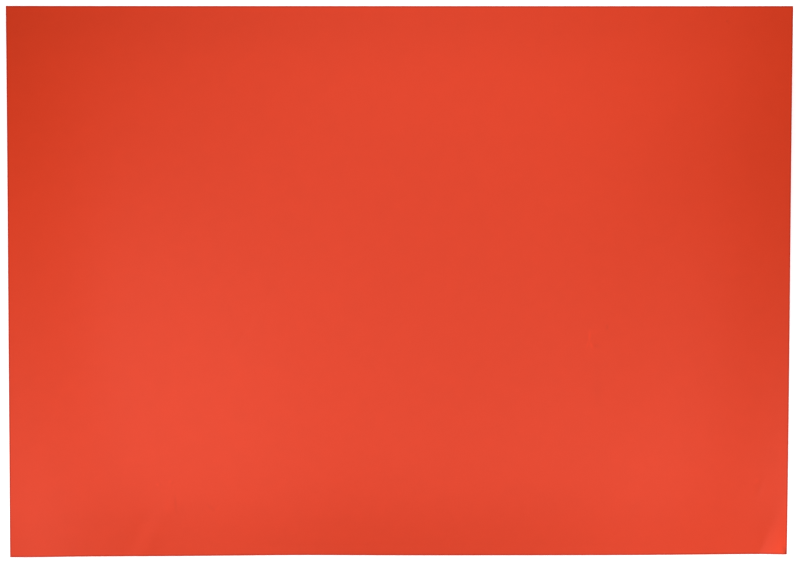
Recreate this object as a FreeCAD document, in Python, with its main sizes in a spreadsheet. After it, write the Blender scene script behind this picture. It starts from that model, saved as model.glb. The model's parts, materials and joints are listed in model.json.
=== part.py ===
# A sheet of coloured paper, ISO 216 size A4, lying flat with its lower right corner turned up.
#
# Units are millimetres and +Z is up. The long edges run along X and the short edges along Y.
# The origin is under the middle of the sheet, on the face that it lies on.
import FreeCAD, Part
import os
import Sketcher

# Alias, value, and what the size is. Angles are in degrees, everything else is in millimetres.
SIZES = (
    ("LongSide", 297.0, "long edge of the trimmed sheet"),
    ("ShortSide", 210.0, "short edge of the trimmed sheet"),
    ("Caliper", 0.16, "thickness of the paper"),
    ("CreaseRunLong", 10.5, "from the corner to the crease, along the long edge"),
    ("CreaseRunShort", 23.0, "from the corner to the crease, along the short edge"),
    ("CornerLift", 9.0, "angle by which the corner stands up from the flat sheet"),
)

# Where the crease meets the long edge that it starts from.
CREASE_START_X = "Sizes.LongSide / 2 - Sizes.CreaseRunLong"
CREASE_START_Y = "-Sizes.ShortSide / 2"

START = 1
END = 2
SKETCH_ORIGIN = (-1, 1)


def add_sizes(doc):
    """Put the driving dimensions in a spreadsheet, one row each, under their aliases."""
    cells = doc.addObject("Spreadsheet::Sheet", "Sizes")
    for row, (alias, value, meaning) in enumerate(SIZES, start=1):
        cells.set(f"A{row}", alias)
        cells.set(f"B{row}", str(value))
        cells.set(f"C{row}", meaning)
        cells.setAlias(f"B{row}", alias)
    doc.recompute()
    return cells


def add_flat_sketch(body, name):
    """A sketch that is attached to the body's own XY plane."""
    plane = next(f for f in body.Origin.OriginFeatures if f.Role == "XY_Plane")
    sketch = body.newObject("Sketcher::SketchObject", name)
    sketch.AttachmentSupport = [(plane, "")]
    sketch.MapMode = "FlatFace"
    return sketch


def draw_loop(sketch, points):
    """Draw a closed loop of straight lines through the points, in order, joined end to end."""
    corners = [FreeCAD.Vector(x, y, 0) for x, y in points]
    for here, there in zip(corners, corners[1:] + corners[:1]):
        sketch.addGeometry(Part.LineSegment(here, there), False)
    for line in range(len(corners)):
        following = (line + 1) % len(corners)
        sketch.addConstraint(Sketcher.Constraint("Coincident", line, END, following, START))


def bind(sketch, name, kind, first, second, expression):
    """Constrain the distance from one point to another, and tie it to the spreadsheet."""
    index = sketch.addConstraint(Sketcher.Constraint(kind, *first, *second, 1.0))
    sketch.renameConstraint(index, name)
    sketch.setExpression(f"Constraints.{name}", expression)


def pad_by_caliper(body, sketch, name):
    """Give the outline the thickness of the paper, straight up even if its sketch is tilted."""
    pad = body.newObject("PartDesign::Pad", name)
    pad.Profile = sketch
    pad.UseCustomVector = True
    pad.Direction = FreeCAD.Vector(0, 0, 1)
    pad.AlongSketchNormal = False
    pad.setExpression("Length", "Sizes.Caliper")
    sketch.Visibility = False
    return pad


def add_flat_sheet(body, sizes):
    """The trimmed sheet as far as the crease: a rectangle with one corner cut off along it."""
    long_half = sizes.LongSide / 2
    short_half = sizes.ShortSide / 2
    sketch = add_flat_sketch(body, "flat_outline")
    draw_loop(
        sketch,
        [
            (-long_half, -short_half),
            (long_half - sizes.CreaseRunLong, -short_half),
            (long_half, sizes.CreaseRunShort - short_half),
            (long_half, short_half),
            (-long_half, short_half),
        ],
    )
    near_edge, crease, right_edge, far_edge, left_edge = range(5)
    for line in (near_edge, far_edge):
        sketch.addConstraint(Sketcher.Constraint("Horizontal", line))
    for line in (right_edge, left_edge):
        sketch.addConstraint(Sketcher.Constraint("Vertical", line))
    far_right = (far_edge, START)
    far_left = (far_edge, END)
    near_left = (near_edge, START)
    bind(sketch, "long_side", "DistanceX", far_left, far_right, "Sizes.LongSide")
    bind(sketch, "short_side", "DistanceY", near_left, far_left, "Sizes.ShortSide")
    bind(sketch, "centre_x", "DistanceX", SKETCH_ORIGIN, far_right, "Sizes.LongSide / 2")
    bind(sketch, "centre_y", "DistanceY", SKETCH_ORIGIN, far_right, "Sizes.ShortSide / 2")
    bind(sketch, "crease_run_long", "DistanceX", (crease, START), (crease, END), "Sizes.CreaseRunLong")
    bind(sketch, "crease_run_short", "DistanceY", (crease, START), (crease, END), "Sizes.CreaseRunShort")
    pad_by_caliper(body, sketch, "flat_sheet")


def add_turned_corner(body, sizes):
    """The triangle beyond the crease, on a plane that is tilted about the crease.

    The plane turns about the lower edge of the crease, and the pad goes straight up from it. So the
    triangle meets the flat sheet in one upright face, and both faces of the paper run on over the
    crease without a step. It makes the tilted part thinner by the cosine of its tilt, about 1 %.
    """
    sketch = add_flat_sketch(body, "corner_outline")
    sketch.setExpression("AttachmentOffset.Base.x", CREASE_START_X)
    sketch.setExpression("AttachmentOffset.Base.y", CREASE_START_Y)
    sketch.setExpression("AttachmentOffset.Rotation.Axis.x", "Sizes.CreaseRunLong")
    sketch.setExpression("AttachmentOffset.Rotation.Axis.y", "Sizes.CreaseRunShort")
    sketch.setExpression("AttachmentOffset.Rotation.Axis.z", "0")
    sketch.setExpression("AttachmentOffset.Rotation.Angle", "-Sizes.CornerLift")
    draw_loop(sketch, [(0, 0), (sizes.CreaseRunLong, 0), (sizes.CreaseRunLong, sizes.CreaseRunShort)])
    near_edge, right_edge, crease = range(3)
    sketch.addConstraint(Sketcher.Constraint("Coincident", near_edge, START, *SKETCH_ORIGIN))
    sketch.addConstraint(Sketcher.Constraint("Horizontal", near_edge))
    sketch.addConstraint(Sketcher.Constraint("Vertical", right_edge))
    bind(sketch, "run_long", "DistanceX", (near_edge, START), (near_edge, END), "Sizes.CreaseRunLong")
    bind(sketch, "run_short", "DistanceY", (crease, END), (crease, START), "Sizes.CreaseRunShort")
    pad_by_caliper(body, sketch, "turned_corner")


def make_paper_sheet(doc, sizes):
    """The whole sheet is one piece of paper: a flat part and the corner that is bent up from it."""
    body = doc.addObject("PartDesign::Body", "paper_sheet")
    body.Label = "paper_sheet"
    add_flat_sheet(body, sizes)
    add_turned_corner(body, sizes)
    return body


def check(doc, parts):
    """Stop before anything is written if an object failed or a solid is not what it should be."""
    for item in doc.Objects:
        if {"Invalid", "Error"} & set(item.State):
            raise RuntimeError(f"{item.Label} failed: {item.State}")
    for part in parts:
        shape = part.Shape
        if shape.isNull() or not shape.isValid():
            raise RuntimeError(f"{part.Label} has no valid shape")
        if len(shape.Solids) != 1:
            raise RuntimeError(f"{part.Label} is {len(shape.Solids)} solids, not one")


def main():
    doc = FreeCAD.newDocument("coloured_paper")
    sizes = add_sizes(doc)
    parts = [make_paper_sheet(doc, sizes)]
    doc.recompute()
    check(doc, parts)
    os.makedirs("parts", exist_ok=True)
    for part in parts:
        part.Shape.exportStep(f"parts/{part.Label}.step")
        box = part.Shape.BoundBox
        print(
            f"{part.Label}: {box.XLength:.2f} x {box.YLength:.2f} x {box.ZLength:.3f} mm,",
            f"{part.Shape.Volume:.1f} mm3, {len(part.Shape.Faces)} faces",
        )


main()
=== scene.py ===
# %% [markdown]
# # A sheet of red paper
#
# The object is one sheet of smooth red paper, coloured right through, that lies on a table. The CAD
# model gives its size, its thickness and its turned-up corner, and is otherwise dead flat. Real paper
# never is. It lies in soft waves, its edges curl, and each knock leaves a small dent in it. This lesson
# makes those, and then the surface of the paper itself.
#
# Everything is in metres, in the frame of the CAD model: the sheet lies on z = 0, its long edges run
# along X, and the turned-up corner is the one towards +X and -Y.

# %% Load the frame
import json
import math

import bmesh
import bpy
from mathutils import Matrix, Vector


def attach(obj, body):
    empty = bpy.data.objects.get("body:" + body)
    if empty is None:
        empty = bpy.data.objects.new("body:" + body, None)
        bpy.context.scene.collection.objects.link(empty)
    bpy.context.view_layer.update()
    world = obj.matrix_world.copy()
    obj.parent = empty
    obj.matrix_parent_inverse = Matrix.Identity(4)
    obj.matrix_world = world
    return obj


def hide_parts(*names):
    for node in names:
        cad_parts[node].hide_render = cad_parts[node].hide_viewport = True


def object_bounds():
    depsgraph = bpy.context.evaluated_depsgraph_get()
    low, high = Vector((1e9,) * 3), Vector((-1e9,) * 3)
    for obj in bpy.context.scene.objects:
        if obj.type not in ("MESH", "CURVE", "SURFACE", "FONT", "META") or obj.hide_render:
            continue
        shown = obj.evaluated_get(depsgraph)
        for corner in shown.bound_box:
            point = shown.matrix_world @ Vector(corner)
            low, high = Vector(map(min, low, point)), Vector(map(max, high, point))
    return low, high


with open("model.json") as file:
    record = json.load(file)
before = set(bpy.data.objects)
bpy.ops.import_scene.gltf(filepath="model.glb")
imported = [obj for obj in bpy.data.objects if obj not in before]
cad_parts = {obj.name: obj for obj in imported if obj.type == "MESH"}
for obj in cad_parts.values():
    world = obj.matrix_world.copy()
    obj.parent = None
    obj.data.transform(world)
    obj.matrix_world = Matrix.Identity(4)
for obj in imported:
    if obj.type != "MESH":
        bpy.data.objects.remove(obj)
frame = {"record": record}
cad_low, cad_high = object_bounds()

MM = 0.001

mounts = {mount["name"]: mount for mount in frame["record"]["mounts"]}
THICKNESS = mounts["upper_face"]["pos_m"][2] - mounts["underside"]["pos_m"][2]
LENGTH = cad_high.x - cad_low.x
WIDTH = cad_high.y - cad_low.y
CENTRE = (cad_low + cad_high) / 2
print(f"sheet {LENGTH:.3f} x {WIDTH:.3f} m, {THICKNESS * 1e6:.0f} micrometres thick")

# %% [markdown]
# ## The camera
#
# Flat things are pictured from straight above and from a distance, so that their edges stay
# parallel. A long lens far away does that. This camera is a few degrees off the upright, so that
# opposite edges of the sheet come out at slightly different lengths.

# %% Camera
LENS = 200
CAMERA_PLACE = Vector((-0.0353, 0.184, 1.679))

# In degrees about X, Y and Z, from looking straight down.
CAMERA_TURN = (-6.24, -1.2, 0.07)

scene = bpy.context.scene
camera = bpy.data.objects.new("camera", bpy.data.cameras.new("camera"))
camera.data.lens = LENS
camera.location = CAMERA_PLACE
camera.rotation_euler = [math.radians(angle) for angle in CAMERA_TURN]
scene.collection.objects.link(camera)
scene.camera = camera
scene.view_settings.view_transform = "Standard"
print(f"camera {CAMERA_PLACE.length:.2f} m away with a {LENS} mm lens")

# %% [markdown]
# ## The table
#
# The table is a plain white surface, wide enough for low views too. It glows, as a light table does,
# so that it comes out white around the sheet even where the lamps are dim. White paint under more
# light would do it too, but that light would bleach the paper as well. A glow doesn't reach the
# sheet's upper face.

# %% Table
TABLE_SIZE = 6.0
TABLE_GAP = 0.05 * MM
TABLE_WHITE = (0.9, 0.9, 0.9)
TABLE_ROUGHNESS = 0.9
TABLE_GLOW = 0.45
WHITE = (1, 1, 1, 1)


def plain_material(name, colour, roughness, glow):
    """A material of one colour without any gloss, for what isn't part of the object."""
    material = bpy.data.materials.new(name)
    material.use_nodes = True
    surface = material.node_tree.nodes["Principled BSDF"]
    surface.inputs["Base Color"].default_value = (*colour, 1)
    surface.inputs["Roughness"].default_value = roughness
    surface.inputs["Specular IOR Level"].default_value = 0
    surface.inputs["Emission Color"].default_value = WHITE
    surface.inputs["Emission Strength"].default_value = glow
    return material


def make_object(name, bm):
    """Turn a finished bmesh into an object at the origin."""
    mesh = bpy.data.meshes.new(name)
    bm.to_mesh(mesh)
    bm.free()
    made = bpy.data.objects.new(name, mesh)
    scene.collection.objects.link(made)
    return made


bm = bmesh.new()
bmesh.ops.create_grid(bm, x_segments=1, y_segments=1, size=TABLE_SIZE / 2)
bmesh.ops.translate(bm, vec=(0, 0, -TABLE_GAP), verts=bm.verts)
table = make_object("table", bm)
table.data.materials.append(plain_material("white_table", TABLE_WHITE, TABLE_ROUGHNESS, TABLE_GLOW))
print("table", TABLE_SIZE, "m wide")

# %% [markdown]
# ## The white room
#
# A studio's walls throw a little light back from everywhere, which keeps shadows from going black. A
# white world does that without any walls. It has two strengths: a dim one that lights the sheet, and
# a full one that the camera sees, because a dim white would look grey behind the table. The Light
# Path node tells the two apart.

# %% The white room
ROOM_LIGHT = 0.25


def white_room(strength):
    """A plain white surround that lights everything evenly, and that the camera sees as white."""
    world = bpy.data.worlds.new("white_room")
    world.use_nodes = True
    nodes = world.node_tree.nodes
    links = world.node_tree.links
    light_path = nodes.new("ShaderNodeLightPath")
    brightness = nodes.new("ShaderNodeMapRange")
    brightness.inputs["To Min"].default_value = strength
    brightness.inputs["To Max"].default_value = 1
    links.new(light_path.outputs["Is Camera Ray"], brightness.inputs["Value"])
    links.new(brightness.outputs["Result"], nodes["Background"].inputs["Strength"])
    nodes["Background"].inputs["Color"].default_value = WHITE
    return world


scene.world = white_room(ROOM_LIGHT)
print("the room alone lights a white surface to", ROOM_LIGHT)

# %% [markdown]
# ## Low lamps
#
# Waves of a few millimetres don't show in light from above. Light that skims the sheet brings them
# out, because a slope of a few degrees then catches much more or much less of it. Two square lamps
# stand low on the far side for that. They are wide, so that no shadow has a hard edge.

# %% Low soft lamps
LOW_LAMP_WIDTH = 0.4

# For each lamp: the side that it stands on, in degrees from +X towards +Y, its height above the
# table in degrees, its distance in metres, and its power in watts.
LOW_LAMPS = {
    "lamp_far": (60, 16, 0.6, 2),
    "lamp_far_left": (110, 9, 1, 17.5),
}


def add_low_lamp(name, side, height, distance, power):
    """A square soft lamp beside the sheet, which looks at its middle."""
    light = bpy.data.lights.new(name, "AREA")
    light.shape = "SQUARE"
    light.size = LOW_LAMP_WIDTH
    light.energy = power
    lamp = bpy.data.objects.new(name, light)
    side, height = math.radians(side), math.radians(height)
    level = Vector((math.cos(side), math.sin(side), 0)) * math.cos(height)
    lamp.location = distance * (level + Vector((0, 0, math.sin(height))))
    lamp.rotation_euler = (-lamp.location).to_track_quat("-Z", "Y").to_euler()
    scene.collection.objects.link(lamp)


for name, setting in LOW_LAMPS.items():
    add_low_lamp(name, *setting)
print(len(LOW_LAMPS), "low lamps")

# %% [markdown]
# ## Overhead lamps
#
# The sheet is brighter in some places than in others, whatever its slope. Each bright place gets a
# spot lamp straight above it. A spot whose blend is 1 fades from its middle to its rim, so its pool
# of light has no edge. Area lamps would spread over the whole sheet instead.

# %% Overhead lamps
OVERHEAD_HEIGHT = 1.0
OVERHEAD_RADIUS = 0.08

# For each lamp: the place that it hangs over and how far its pool of light reaches from there, in
# metres, and its power in watts.
OVERHEAD_LAMPS = {
    "lamp_near_left": (-0.115, -0.12, 0.17, 19.5),
    "lamp_near_right": (0.13, -0.13, 0.14, 24.5),
    "lamp_middle": (0.01, 0.03, 0.21, 12),
}


def add_overhead_lamp(name, x, y, reach, power):
    """A lamp that looks straight down and whose pool of light fades all the way to its rim."""
    light = bpy.data.lights.new(name, "SPOT")
    light.spot_size = 2 * math.atan(reach / OVERHEAD_HEIGHT)
    light.spot_blend = 1
    light.shadow_soft_size = OVERHEAD_RADIUS
    light.energy = power
    lamp = bpy.data.objects.new(name, light)
    lamp.location = (x, y, OVERHEAD_HEIGHT)
    scene.collection.objects.link(lamp)


for name, setting in OVERHEAD_LAMPS.items():
    add_overhead_lamp(name, *setting)
print(len(OVERHEAD_LAMPS), "overhead lamps")

# %% [markdown]
# ## The flat sheet
#
# A sheet could be simulated as cloth, but paper hardly stretches or sags at this size, and its shape
# here is known. So the shape is written as heights over a flat grid, one short function for each
# thing that happened to the paper. The grid needs a vertex wherever the paper bends. It is coarse in
# general and is divided finely around the corner and the dents only, which keeps the mesh light.

# %% Grid
CELL = 2 * MM


def flat_grid():
    """The sheet before anything bends it, as one grid of nearly square cells."""
    bm = bmesh.new()
    across, along = round(LENGTH / CELL), round(WIDTH / CELL)
    bmesh.ops.create_grid(bm, x_segments=across, y_segments=along, size=0.5)
    bmesh.ops.scale(bm, vec=(LENGTH, WIDTH, 1), verts=bm.verts)
    bmesh.ops.translate(bm, vec=(CENTRE.x, CENTRE.y, 0), verts=bm.verts)
    return bm


def divide_around(bm, place, reach, cuts):
    """Divide the cells within reach of a place on the sheet, each edge into cuts + 1."""
    near = {
        v for v in bm.verts
        if abs(v.co.x - place[0]) <= reach[0] and abs(v.co.y - place[1]) <= reach[1]
    }
    edges = [e for e in bm.edges if e.verts[0] in near and e.verts[1] in near]
    bmesh.ops.subdivide_edges(bm, edges=edges, cuts=cuts, use_grid_fill=True)


def keep_flat_place(bm):
    """Store where each corner of each face lies on the flat sheet, from 0 to 1, as a UV map."""
    uv_map = bm.loops.layers.uv.new("flat_sheet")
    for face in bm.faces:
        for loop in face.loops:
            place = loop.vert.co
            loop[uv_map].uv = ((place.x - cad_low.x) / LENGTH, (place.y - cad_low.y) / WIDTH)


sheet_bm = flat_grid()
print(len(sheet_bm.faces), "cells of about", CELL / MM, "mm")

# %% [markdown]
# ## Waves
#
# A sheet that was rolled, stacked or printed keeps a memory of it: long low waves, and edges that
# curl. A wave here is a smooth rise or hollow of its own length, width and direction, and the sheet's
# shape is their sum. A displacement texture would give waves too, but not each one in its place.

# %% Waves
# For each wave, in millimetres and degrees: the x and y of its middle, how far from there it has
# sunk to about a third, across and along, how far it is turned, and its height, which is minus for
# a hollow.
WAVES = {
    "left_swell": (-110, -35, 25, 65, 5, 1.2),
    "long_hollow": (-35, -120, 30, 115, 10, -1.4),
    "right_swell": (95, -30, 65, 60, -12, 2.4),
    "right_hollow": (100, -40, 30, 45, -10, -1.5),
    "slanting_hollow": (85, -5, 30, 75, -40, -0.6),
    "near_edge_droop": (-10, -117, 300, 24, 0, -1.5),
    "near_left_corner_lift": (-142, -123, 20, 40, 13, 2.3),
    "far_edge_curl": (0, 116, 300, 20, 0, 0.9),
    "left_edge_droop": (-170, 48, 35, 65, -6, -2.3),
    "right_edge_droop": (157, 10, 30, 290, -10, -2.0),
    "corner_droop": (145, -102, 7, 14, -24, -0.35),
}


def swell(x, y, middle_x, middle_y, across, along, turn, height):
    """How high one wave is at a place on the sheet, in the unit of its height."""
    from_middle = Vector((x / MM - middle_x, y / MM - middle_y))
    sideways = Vector((math.cos(math.radians(turn)), math.sin(math.radians(turn))))
    lengthways = Vector((-sideways.y, sideways.x))
    u = from_middle.dot(sideways) / across
    v = from_middle.dot(lengthways) / along
    return height * math.exp(-u * u - v * v)


def sum_of(shapes, x, y):
    """The sum of several such shapes at a place on the sheet."""
    return sum(swell(x, y, *shape) for shape in shapes.values())


print(len(WAVES), "waves")

# %% [markdown]
# ## The turned-up corner
#
# Somebody's thumb bent this corner up. At the near edge the paper is creased, and from there the
# crease opens like a fan into a soft bend. A hinge that gets rounder along its length makes both.
# The fold's angle is worked out from the height of the CAD corner, so that both models agree.

# %% Crease
CREASE_RUN_LONG = 10.5 * MM
CREASE_RUN_SHORT = 23 * MM

# The very tip of the corner is folded down again.
TIP_RUN_LONG = 1.1 * MM
TIP_RUN_SHORT = 3.4 * MM

corner = Vector((cad_high.x, cad_low.y))


def crease(run_long, run_short):
    """Where a crease across the corner starts, which way it goes, and which way lies beyond it."""
    start = corner - Vector((run_long, 0))
    end = corner + Vector((0, run_short))
    way = (end - start).normalized()
    return start, way, Vector((way.y, -way.x))


crease_start, crease_way, outwards = crease(CREASE_RUN_LONG, CREASE_RUN_SHORT)
tip_start, _, tip_outwards = crease(TIP_RUN_LONG, TIP_RUN_SHORT)
corner_reach = (corner - crease_start).dot(outwards)
corner_rise = math.asin((cad_high.z - cad_low.z - THICKNESS) / corner_reach)
print(f"corner {corner_reach / MM:.1f} mm from its crease, raised {math.degrees(corner_rise):.1f} degrees")

# %% Corner
# How soft the crease is at its sharp end, and how much softer it gets for each metre along it.
SHARP_CREASE = 0.25 * MM
SOFTENING = 0.13

TIP_DROP = math.radians(20)
SHARP_TIP = 0.2 * MM

# How far from the corner the grid is divided: first for the bend, then again for the tip.
BEND_REACH = (18 * MM, 36 * MM)
TIP_REACH = (2.5 * MM, 4.5 * MM)


def rounded_hinge(beyond, softness):
    """Distance beyond a crease, and 0 before it, with the turn spread over the softness."""
    return (beyond + math.hypot(beyond, softness)) / 2


def corner_bend(x, y):
    """How far a point on the sheet moves as the corner is bent: along X, along Y and up."""
    from_start = Vector((x, y)) - crease_start
    softness = SHARP_CREASE + SOFTENING * max(from_start.dot(crease_way), 0)
    beyond = rounded_hinge(from_start.dot(outwards), softness)
    inwards = -outwards * beyond * (1 - math.cos(corner_rise))
    beyond_tip = rounded_hinge((Vector((x, y)) - tip_start).dot(tip_outwards), SHARP_TIP)
    return inwards.x, inwards.y, beyond * math.sin(corner_rise) - beyond_tip * math.tan(TIP_DROP)


divide_around(sheet_bm, corner, BEND_REACH, cuts=3)
divide_around(sheet_bm, corner, TIP_REACH, cuts=2)
print(len(sheet_bm.faces), "faces now")

# %% [markdown]
# ## Dents
#
# Paper that has been handled has small hard marks: a pinch, a nick from a fingernail, a grain of grit
# under it. They are the same smooth rises and hollows as the waves, only a millimetre or so across, so the
# same function makes them. Their relief is too low to show much in this light, so the paper's colour is
# also painted paler and darker. This is mostly painted light and shade on the sides of the dents and on a
# few bumps and a trough that have no relief at all, with painted light on the turned-up flap and a painted
# shadow at its tip. Only the kink's pale line is partly also fibres broken at the crease. This is kept as
# a number on each vertex for the material to read.
# The grid is divided around each group first, because a dent between two vertices isn't there.

# %% Dents
# As for the waves, in millimetres and degrees.
DENTS = {
    "kink_ridge": (72.1, -20.6, 0.5, 1.8, 0, 0.03),
    "kink_hollow": (74.8, -24.6, 1.0, 1.2, 0, -0.05),
    "kink_shoulder": (73.5, -19.6, 2.5, 1.2, 0, 0.03),
    "pinch_ridge": (-86.6, -85.0, 1.6, 3.0, 0, 0.05),
    "pinch_line": (-85.4, -84.6, 0.5, 3.6, 0, -0.03),
    "nick_left": (-71.8, -86.0, 0.4, 2.0, 37, 0.02),
    "nick_right": (-69.4, -86.6, 0.4, 1.4, -45, 0.02),
    "pleat_hollow": (-99.5, -96.5, 3.0, 10.0, -20, -0.14),
    "pleat_ridge": (-95.0, -97.5, 3.0, 10.0, -20, 0.14),
    "corner_hollow": (137.6, -79.4, 1.3, 3.0, -18, -0.05),
    "far_edge_grit": (123.5, 99.2, 0.6, 0.6, 0, 0.02),
}

# Where the paper's colour is painted paler, or with a minus darker. Most of these are painted light and
# shade: the lit and the shaded sides of small bumps, ridges and hollows, some of which have no relief at
# all, the light on the turned-up flap, and the shadow at its folded-down tip. The kink's pale line is
# painted highlight and partly also fibres broken at the crease. The last number is the share by which its
# colour changes.
MARKS = {
    # Painted highlight and painted shade around the kink; its pale line is partly also broken fibres.
    "kink_crack_and_painted_highlight": (72.1, -20.4, 0.4, 1.7, 0, 0.1),
    "kink_left_leg": (71.4, -23.4, 0.35, 1.1, -14, 0.06),
    "kink_right_leg": (72.8, -23.8, 0.45, 1.2, 16, 0.08),
    "kink_painted_shade": (75.0, -24.2, 1.1, 0.9, 0, -0.05),
    "kink_above": (73.6, -18.8, 2.4, 1.1, 0, 0.03),
    "kink_speck": (78.8, -16.9, 0.5, 1.0, 0, -0.06),
    "kink_trough": (75.3, -40.0, 1.8, 6.5, 5, -0.03),
    # Painted light and painted shade on the two sides of a pinch and of two specks.
    "pinch_line": (-85.4, -84.6, 0.45, 3.3, 4, -0.06),
    "pinch_patch": (-88.0, -86.0, 2.0, 2.2, 0, 0.03),
    "pinch_speck_pale": (-87.5, -76.0, 0.5, 0.5, 0, 0.05),
    "pinch_speck_dark": (-86.7, -76.5, 0.5, 0.5, 0, -0.05),
    "left_speck_pale": (-92.2, -77.2, 0.5, 0.5, 0, 0.06),
    "left_speck_dark": (-91.2, -77.2, 0.4, 0.4, 0, -0.06),
    # Painted shade and painted light on the two sides of the nicks.
    "nick_left": (-72.0, -86.3, 0.7, 1.9, 45, -0.04),
    "nick_right": (-69.4, -86.6, 0.5, 1.2, -45, 0.03),
    # Painted light and painted shade on a small bump, painted light on the turned-up flap, and a painted
    # shadow at its folded-down tip.
    "corner_painted_light": (136.5, -76.3, 1.2, 0.9, 40, 0.035),
    "corner_painted_shade": (137.7, -80.3, 1.2, 3.0, -18, -0.035),
    "flap_painted_light": (145.5, -103, 4, 5, -24, 0.03),
    "tip_painted_shadow": (148.0, -104.0, 0.7, 1.9, 18, -0.25),
    "far_edge_grit": (123.5, 99.2, 0.5, 0.5, 0, -0.08),
}

# For each group of dents and marks, in millimetres: its middle, half its width, half its length,
# and the cuts.
FINE_PLACES = {
    "kink": (74.5, -22, 6, 8, 6),
    "kink_trough": (75.4, -40, 5, 12, 2),
    "pinch_and_nicks": (-81, -83, 14, 9, 4),
    "pleat": (-97, -99, 10, 8, 1),
    "far_edge_grit": (123.5, 99.2, 2, 2, 4),
}

for middle_x, middle_y, across, along, cuts in FINE_PLACES.values():
    divide_around(sheet_bm, (middle_x * MM, middle_y * MM), (across * MM, along * MM), cuts)
print(len(DENTS), "dents and", len(MARKS), "marks,", len(sheet_bm.faces), "faces now")

# %% [markdown]
# ## Shaping the sheet
#
# Only now does anything move. Each vertex is still at its flat place, so the UV map and the marks are
# stored first, and then it moves by the sum of all the waves and dents and by the corner's bend. The
# sheet is dropped until its lowest points touch the table. Solidify gives it the paper's thickness
# and makes the cut edge, which has a material slot of its own. The outline is marked sharp, because
# a guillotined edge is square and smooth shading would round it.

# %% Shape the sheet
def shape_sheet(bm):
    """Move every point of the flat grid to its height, and the whole sheet down onto the table."""
    for vertex in bm.verts:
        x, y = vertex.co.x, vertex.co.y
        shift_x, shift_y, rise = corner_bend(x, y)
        rise += (sum_of(WAVES, x, y) + sum_of(DENTS, x, y)) * MM
        vertex.co += Vector((shift_x, shift_y, rise))
    lowest = min(vertex.co.z for vertex in bm.verts)
    bmesh.ops.translate(bm, vec=(0, 0, cad_low.z + THICKNESS - lowest), verts=bm.verts)
    highest = max(vertex.co.z for vertex in bm.verts)
    print(f"the sheet reaches {highest / MM:.1f} mm above the table")


def keep_marks(bm):
    """Store how much paler or darker the paper is painted, mostly as light and shade, as a number on each
    vertex.
    """
    mark = bm.verts.layers.float.new("mark")
    for vertex in bm.verts:
        vertex[mark] = sum_of(MARKS, vertex.co.x, vertex.co.y)


keep_flat_place(sheet_bm)
keep_marks(sheet_bm)
shape_sheet(sheet_bm)
bmesh.ops.recalc_face_normals(sheet_bm, faces=sheet_bm.faces)
for face in sheet_bm.faces:
    face.smooth = True
for edge in sheet_bm.edges:
    edge.smooth = not edge.is_boundary
sheet = make_object("paper", sheet_bm)
solid = sheet.modifiers.new("thickness", "SOLIDIFY")
solid.thickness = THICKNESS
solid.offset = -1
solid.material_offset_rim = 1

# %% [markdown]
# ## The paper
#
# Smooth coloured paper is a mat of short fibres, dyed right through and rolled flat. Close up, the
# fibres show as fine streaks that lie more along the machine's direction than across it, and the
# pulp is a little cloudy from one few millimetres to the next. Both are made by noise on the object's
# own coordinates, in a node group, because the face and the cut edge share them. The shader itself
# stays in each material. A picture of paper would repeat and would stop at its own sharpness.

# %% Fibres
FIBRE_LENGTH = 1.6 * MM
FIBRE_WIDTH = 0.09 * MM
CLOUD_SIZE = 6 * MM
FIBRE_TURNS = (0, 25, -40)
FIBRE_DETAIL = 1
CLOUD_DETAIL = 2


def add_node(tree, kind, **settings):
    """A new node with its settings, where a setting is an attribute of the node."""
    node = tree.nodes.new(kind)
    for name, value in settings.items():
        setattr(node, name, value)
    return node


def add_math(tree, operation, first, second):
    """A Math node on two sockets or numbers. Returns its output socket."""
    node = add_node(tree, "ShaderNodeMath", operation=operation)
    for socket, value in zip(node.inputs, (first, second)):
        if isinstance(value, (int, float)):
            socket.default_value = value
        else:
            tree.links.new(value, socket)
    return node.outputs["Value"]


def add_noise(tree, place, size, detail):
    """A noise texture whose blobs are about as large as size, in metres."""
    noise = add_node(tree, "ShaderNodeTexNoise")
    noise.inputs["Scale"].default_value = 1 / size
    noise.inputs["Detail"].default_value = detail
    tree.links.new(place, noise.inputs["Vector"])
    return noise.outputs["Fac"]


def fibre_group():
    """A node group that puts out the fibres and the clouds of the pulp, each from 0 to 1."""
    group = bpy.data.node_groups.new("paper_fibres", "ShaderNodeTree")
    group.interface.new_socket("Place", in_out="INPUT", socket_type="NodeSocketVector")
    group.interface.new_socket("Fibres", in_out="OUTPUT", socket_type="NodeSocketFloat")
    group.interface.new_socket("Clouds", in_out="OUTPUT", socket_type="NodeSocketFloat")
    place = group.nodes.new("NodeGroupInput").outputs["Place"]
    out = group.nodes.new("NodeGroupOutput")
    layers = 0
    for turn in FIBRE_TURNS:
        mapping = add_node(group, "ShaderNodeMapping", vector_type="TEXTURE")
        mapping.inputs["Rotation"].default_value = (0, 0, math.radians(turn))
        mapping.inputs["Scale"].default_value = (FIBRE_LENGTH / FIBRE_WIDTH, 1, 1)
        group.links.new(place, mapping.inputs["Vector"])
        streaks = add_noise(group, mapping.outputs["Vector"], FIBRE_WIDTH, FIBRE_DETAIL)
        layers = add_math(group, "MAXIMUM", layers, streaks)
    group.links.new(layers, out.inputs["Fibres"])
    group.links.new(add_noise(group, place, CLOUD_SIZE, CLOUD_DETAIL), out.inputs["Clouds"])
    return group


paper_fibres = fibre_group()
print(len(paper_fibres.nodes), "nodes make the fibres and the clouds")

# %% [markdown]
# ## Face and cut edge
#
# A thin darker line runs along all four edges. It is painted shade, which stands in for the shadow at the
# cut edge. The flat_sheet UV map says how far a point is from each edge, so the line follows the edges
# wherever the paper bends. The cut edge itself has open fibres, so it is duller than the face, and it lies
# inside the painted shade. One function makes both materials, and the gloss tells them apart.

# %% Rim
# The painted shade at the rim is full up to the first distance from the edge, and is gone at the second.
RIM_DARK_TO = 0.4 * MM
RIM_GONE_AT = 0.7 * MM
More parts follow.
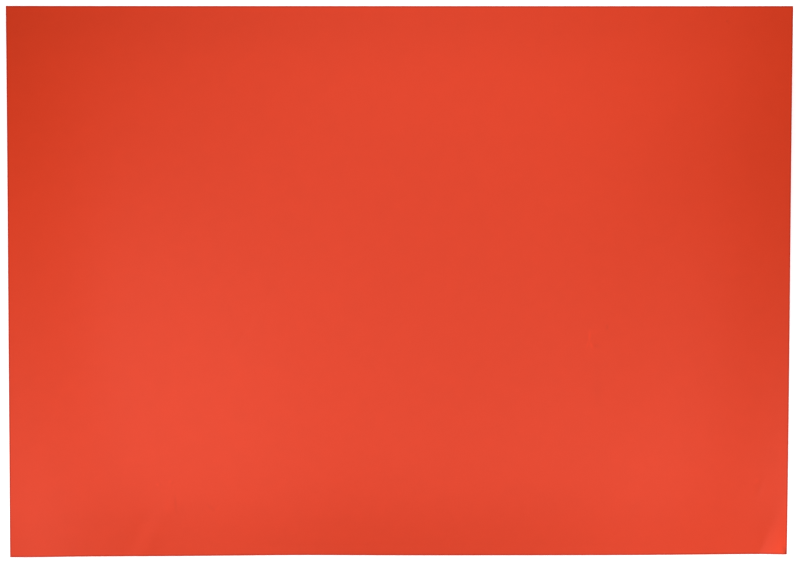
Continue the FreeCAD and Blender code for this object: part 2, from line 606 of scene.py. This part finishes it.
# Painted shade: the share of its colour that the paper keeps right at the edge.
PAINTED_RIM_SHADE = 0.72

# Further than any place on the sheet lies from its edges, in metres.
FAR_OFF = 1.0


def edge_distance(tree):
    """How far a point lies from the nearest edge of the flat sheet, in metres."""
    uv_map = add_node(tree, "ShaderNodeUVMap", uv_map="flat_sheet")
    split = add_node(tree, "ShaderNodeSeparateXYZ")
    tree.links.new(uv_map.outputs["UV"], split.inputs["Vector"])
    nearest = FAR_OFF
    for axis, side in (("X", LENGTH), ("Y", WIDTH)):
        from_low = add_math(tree, "MULTIPLY", split.outputs[axis], side)
        from_high = add_math(tree, "SUBTRACT", side, from_low)
        nearest = add_math(tree, "MINIMUM", nearest, from_low)
        nearest = add_math(tree, "MINIMUM", nearest, from_high)
    return nearest


def painted_rim_shade(tree):
    """The share of its colour that the paper keeps: less at the rim, where shade is painted in, and all of
    it inside.
    """
    ramp = add_node(tree, "ShaderNodeMapRange", interpolation_type="SMOOTHSTEP")
    ramp.inputs["From Min"].default_value = RIM_DARK_TO
    ramp.inputs["From Max"].default_value = RIM_GONE_AT
    ramp.inputs["To Min"].default_value = PAINTED_RIM_SHADE
    ramp.inputs["To Max"].default_value = 1
    tree.links.new(edge_distance(tree), ramp.inputs["Value"])
    return ramp.outputs["Result"]


print(f"the rim is {RIM_GONE_AT / MM:.1f} mm wide")

# %% Paper
RED = (0.735, 0.0405, 0.005)
BLACK = (0, 0, 0)

# What the fibres and the clouds add up to on average, and how much they change the colour.
PULP_MIDDLE = 1.1
TONE_CHANGE = 0.05
ROUGHNESS_CHANGE = 0.06
FIBRE_HEIGHT = 0.004 * MM


def paper_tone(tree, fibres):
    """How much of its full colour the paper has at each place, which is 1 on average."""
    pulp = add_math(tree, "ADD", fibres.outputs["Fibres"], fibres.outputs["Clouds"])
    tone = add_math(tree, "MULTIPLY", add_math(tree, "SUBTRACT", pulp, PULP_MIDDLE), TONE_CHANGE)
    # The mark is mostly painted light and shade beside the dents, and the rim factor is painted shade
    # along the edges.
    mark = add_node(tree, "ShaderNodeAttribute", attribute_name="mark").outputs["Fac"]
    tone = add_math(tree, "ADD", add_math(tree, "ADD", tone, mark), 1)
    return add_math(tree, "MULTIPLY", tone, painted_rim_shade(tree))


def paper_colour(tree, tone):
    """Red times the tone. The mix isn't clamped, so that a tone above 1 is brighter than red."""
    colour = add_node(tree, "ShaderNodeMix", data_type="RGBA", blend_type="MIX", clamp_factor=False)
    colour.inputs["A"].default_value = (*BLACK, 1)
    colour.inputs["B"].default_value = (*RED, 1)
    tree.links.new(tone, colour.inputs["Factor"])
    return colour.outputs["Result"]


def paper_material(name, roughness, gloss):
    """Red paper with its fibres, its rim and its marks, of a given roughness and gloss."""
    material = bpy.data.materials.new(name)
    material.use_nodes = True
    tree = material.node_tree
    surface = tree.nodes["Principled BSDF"]
    surface.inputs["Specular IOR Level"].default_value = gloss

    fibres = add_node(tree, "ShaderNodeGroup", node_tree=paper_fibres)
    tree.links.new(add_node(tree, "ShaderNodeTexCoord").outputs["Object"], fibres.inputs["Place"])
    tree.links.new(paper_colour(tree, paper_tone(tree, fibres)), surface.inputs["Base Color"])

    rough = add_node(tree, "ShaderNodeMapRange")
    rough.inputs["To Min"].default_value = roughness - ROUGHNESS_CHANGE
    rough.inputs["To Max"].default_value = roughness + ROUGHNESS_CHANGE
    tree.links.new(fibres.outputs["Fibres"], rough.inputs["Value"])
    tree.links.new(rough.outputs["Result"], surface.inputs["Roughness"])

    bump = add_node(tree, "ShaderNodeBump")
    bump.inputs["Distance"].default_value = FIBRE_HEIGHT
    tree.links.new(fibres.outputs["Fibres"], bump.inputs["Height"])
    tree.links.new(bump.outputs["Normal"], surface.inputs["Normal"])
    return material


print("the paper's colour, tone and shader are ready")

# %% Face and cut edge
sheet.data.materials.append(paper_material("red_paper", roughness=0.5, gloss=0.22))
sheet.data.materials.append(paper_material("red_paper_cut_edge", roughness=0.8, gloss=0.1))
print("materials:", [material.name for material in sheet.data.materials])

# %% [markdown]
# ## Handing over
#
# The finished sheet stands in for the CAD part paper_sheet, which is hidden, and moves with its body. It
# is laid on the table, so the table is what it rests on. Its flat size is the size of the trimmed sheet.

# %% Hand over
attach(sheet, "root")
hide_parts("paper_sheet")
